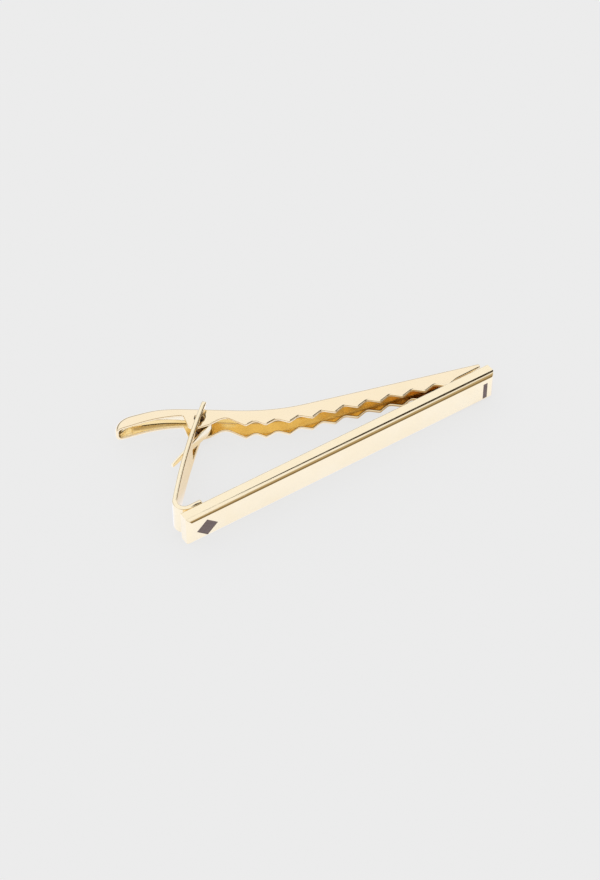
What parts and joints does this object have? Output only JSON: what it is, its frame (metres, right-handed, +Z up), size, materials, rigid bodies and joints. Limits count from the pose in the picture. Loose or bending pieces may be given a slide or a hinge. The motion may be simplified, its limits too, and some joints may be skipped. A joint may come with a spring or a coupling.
{
  "type": "tie clip",
  "caption": "Bevelled bar with a bent strip soldered behind it that carries a sprung, toothed jaw, for clipping a necktie to a shirt.",
  "frame": {"origin": "under the middle of the whole clip, lying on its side, on the surface it lies on", "axes": "+X along the bar from the arm's end to the toe's end, +Y from the bar's front to the jaw, +Z up along the pivot"},
  "size_m": [0.0552, 0.0246, 0.0052],
  "materials": {
    "gold_bar": "polished pale gold plate",
    "gold_strip": "polished pale gold plate",
    "gold_jaw": "polished pale gold plate",
    "gold_spring": "bright gold-plated spring strip",
    "enamel": "hard dark enamel"
  },
  "bodies": {
    "bar": {"front_bar": "gold_bar", "left_inlay": "enamel", "right_inlay": "enamel", "clip_arm": "gold_strip", "pivot_pin": "gold_strip", "spring": "gold_spring"},
    "jaw": {"jaw": "gold_jaw"}
  },
  "joints": [
    {"name": "jaw_pivot", "type": "hinge", "parent": "bar", "child": "jaw", "pos_m": [-0.01461, 0.00538, 0.0026], "axis": [0, 0, 1], "range_deg": [-1.1, 30], "stiffness_Nm_per_rad": 0.05, "deforming": ["spring"]}
  ]
}
